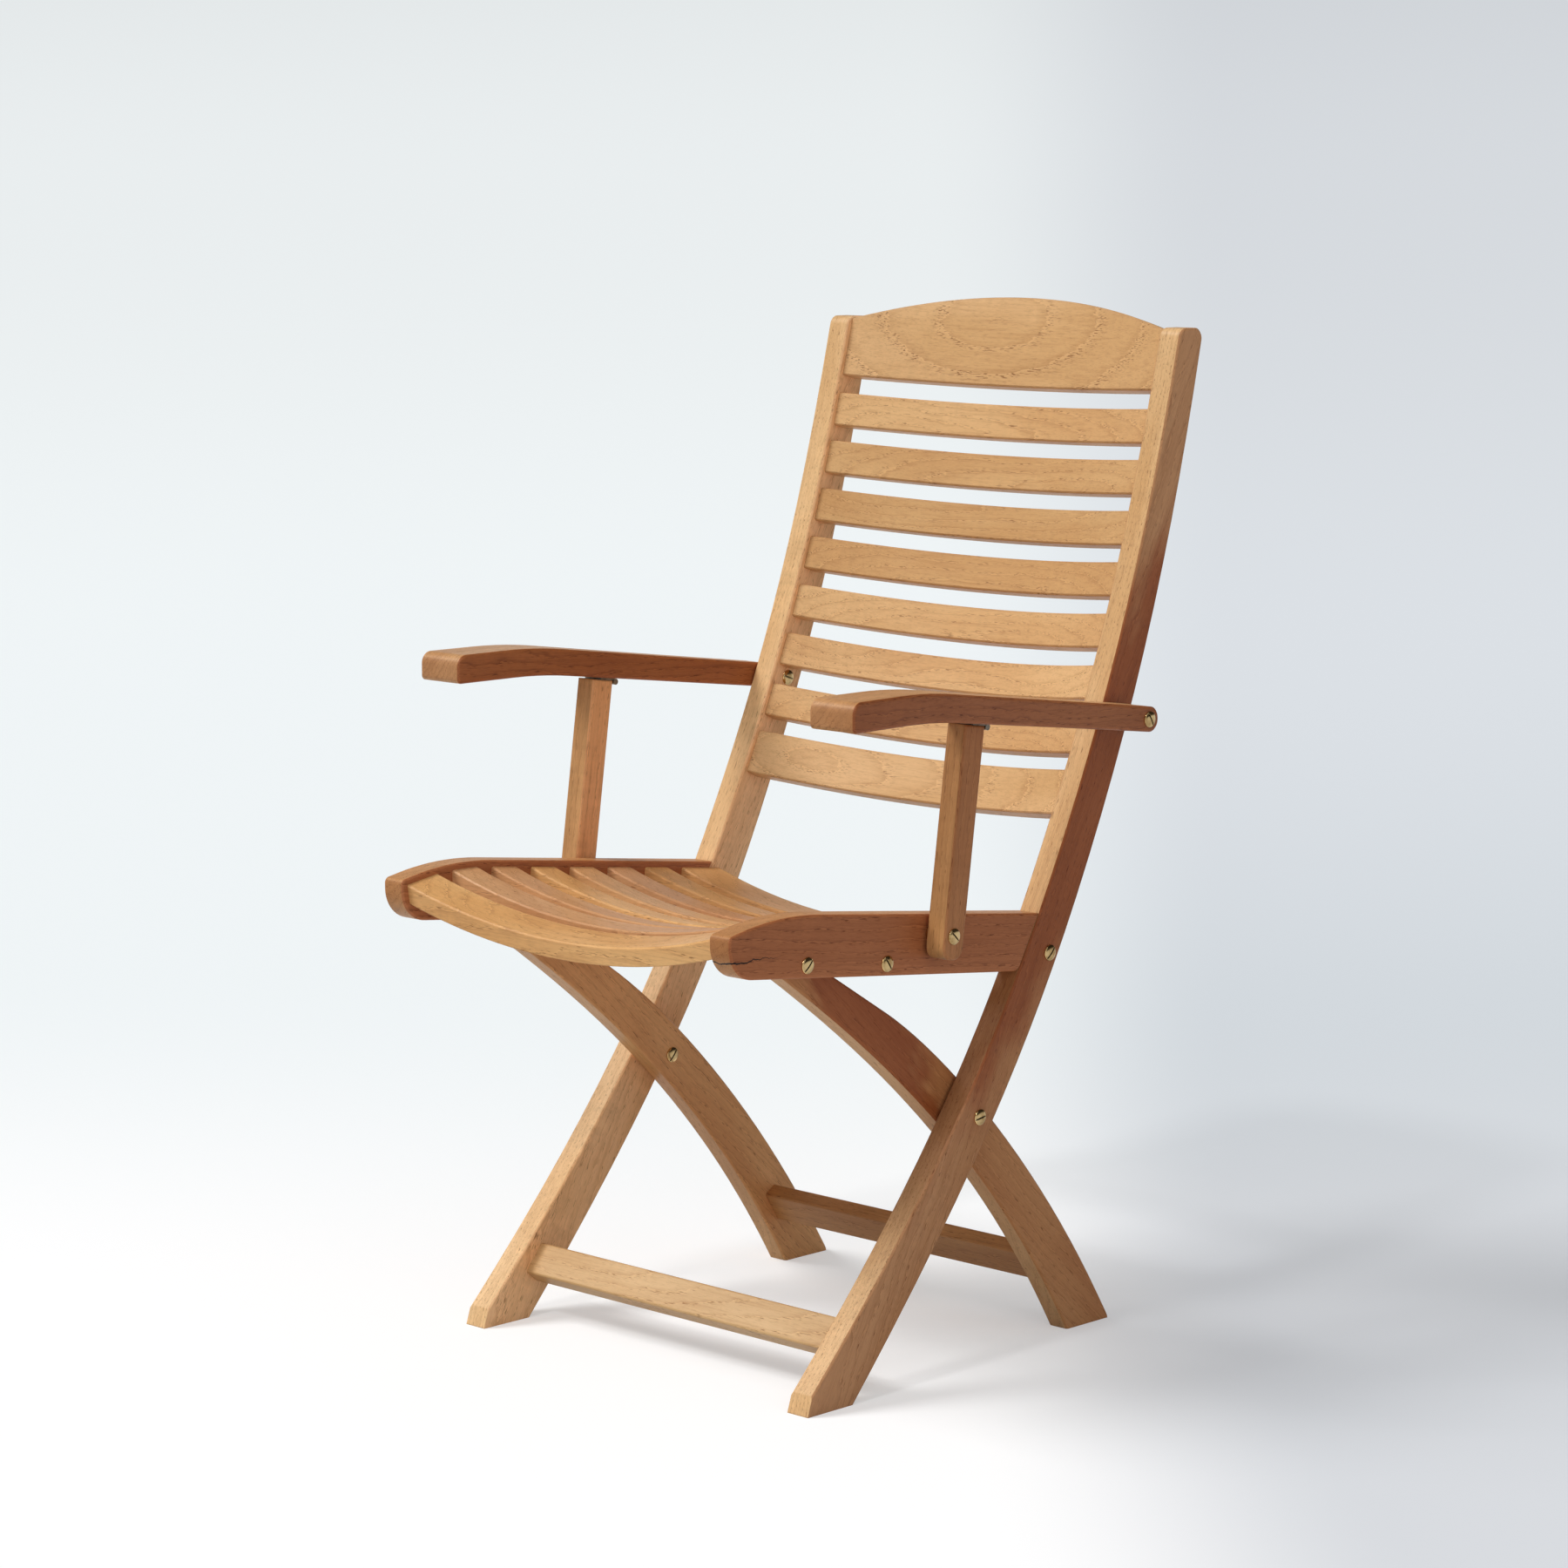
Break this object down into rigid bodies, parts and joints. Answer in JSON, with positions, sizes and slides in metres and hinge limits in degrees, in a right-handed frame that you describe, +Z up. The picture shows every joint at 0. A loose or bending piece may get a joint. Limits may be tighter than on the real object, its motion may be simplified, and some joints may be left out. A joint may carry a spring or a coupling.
{
  "type": "folding armchair",
  "caption": "Folding slatted wooden armchair with curved crossed legs, a high bowed slat back, a dished slat seat and armrests on hinged posts.",
  "frame": {"origin": "on the floor, in the middle of the chair's width and depth", "axes": "+X to the sitter's left, -Y to the front, +Z up"},
  "size_m": [0.6098, 0.7072, 1.0524],
  "materials": {
    "teak": "oiled teak, satin, with fine dark pores along the grain",
    "brass": "polished",
    "steel": "satin zinc"
  },
  "bodies": {
    "back_frame": {"stile_left": "teak", "stile_right": "teak", "crest_rail": "teak", "back_slat_1": "teak", "back_slat_2": "teak", "back_slat_3": "teak", "back_slat_4": "teak", "back_slat_5": "teak", "back_slat_6": "teak", "back_slat_7": "teak", "lower_back_slat": "teak", "front_stretcher": "teak", "crossing_bolts": "brass", "crossing_washers": "brass", "strap_bolts": "brass", "arm_bolts": "brass", "arm_washers": "brass"},
    "leg_frame": {"leg_left": "teak", "leg_right": "teak", "rear_stretcher": "teak"},
    "seat": {"seat_rail_left": "teak", "seat_rail_right": "teak", "seat_slat_1": "teak", "seat_slat_2": "teak", "seat_slat_3": "teak", "seat_slat_4": "teak", "seat_slat_5": "teak", "seat_slat_6": "teak", "seat_slat_7": "teak", "seat_slat_8": "teak", "leg_bolts": "brass", "leg_washers": "brass", "rail_screws": "brass"},
    "seat_strap_left": {"strap_left": "steel"},
    "arm_left": {"armrest_left": "teak", "hinge_leaf_upper_left": "steel"},
    "arm_post_left": {"post_left": "teak", "hinge_leaf_lower_left": "steel", "post_bolt_left": "brass", "post_washer_left": "brass"},
    "seat_strap_right": {"strap_right": "steel"},
    "arm_right": {"armrest_right": "teak", "hinge_leaf_upper_right": "steel"},
    "arm_post_right": {"post_right": "teak", "hinge_leaf_lower_right": "steel", "post_bolt_right": "brass", "post_washer_right": "brass"}
  },
  "joints": [
    {"name": "leg_fold", "type": "hinge", "parent": "back_frame", "child": "leg_frame", "pos_m": [0, -0.002, 0.2565], "axis": [-1, 0, 0], "range_deg": [0, 56]},
    {"name": "seat_fold", "type": "hinge", "parent": "leg_frame", "child": "seat", "pos_m": [0, -0.2488, 0.4429], "axis": [1, 0, 0], "range_deg": [0, 111.7]},
    {"name": "strap_left_fold", "type": "hinge", "parent": "seat", "child": "seat_strap_left", "pos_m": [0, -0.1378, 0.4297], "axis": [-1, 0, 0], "range_deg": [0, 137.4]},
    {"name": "arm_left_fold", "type": "hinge", "parent": "back_frame", "child": "arm_left", "pos_m": [0, 0.203, 0.64], "axis": [-1, 0, 0], "range_deg": [0, 98.6]},
    {"name": "post_left_fold", "type": "hinge", "parent": "arm_left", "child": "arm_post_left", "pos_m": [0, -0.02555, 0.6525], "axis": [1, 0, 0], "range_deg": [0, 68.2]},
    {"name": "strap_right_fold", "type": "hinge", "parent": "seat", "child": "seat_strap_right", "pos_m": [0, -0.1378, 0.4297], "axis": [-1, 0, 0], "range_deg": [0, 137.4]},
    {"name": "arm_right_fold", "type": "hinge", "parent": "back_frame", "child": "arm_right", "pos_m": [0, 0.203, 0.64], "axis": [-1, 0, 0], "range_deg": [0, 98.6]},
    {"name": "post_right_fold", "type": "hinge", "parent": "arm_right", "child": "arm_post_right", "pos_m": [0, -0.02555, 0.6525], "axis": [1, 0, 0], "range_deg": [0, 68.2]}
  ],
  "couplings": [
    {"joint": "seat_fold", "follows": "leg_fold", "ratio": 1.993},
    {"joint": "strap_left_fold", "follows": "leg_fold", "ratio": 2.4522},
    {"joint": "arm_left_fold", "follows": "leg_fold", "ratio": 1.7593},
    {"joint": "post_left_fold", "follows": "leg_fold", "ratio": 1.2173},
    {"joint": "strap_right_fold", "follows": "leg_fold", "ratio": 2.4522},
    {"joint": "arm_right_fold", "follows": "leg_fold", "ratio": 1.7593},
    {"joint": "post_right_fold", "follows": "leg_fold", "ratio": 1.2173}
  ]
}
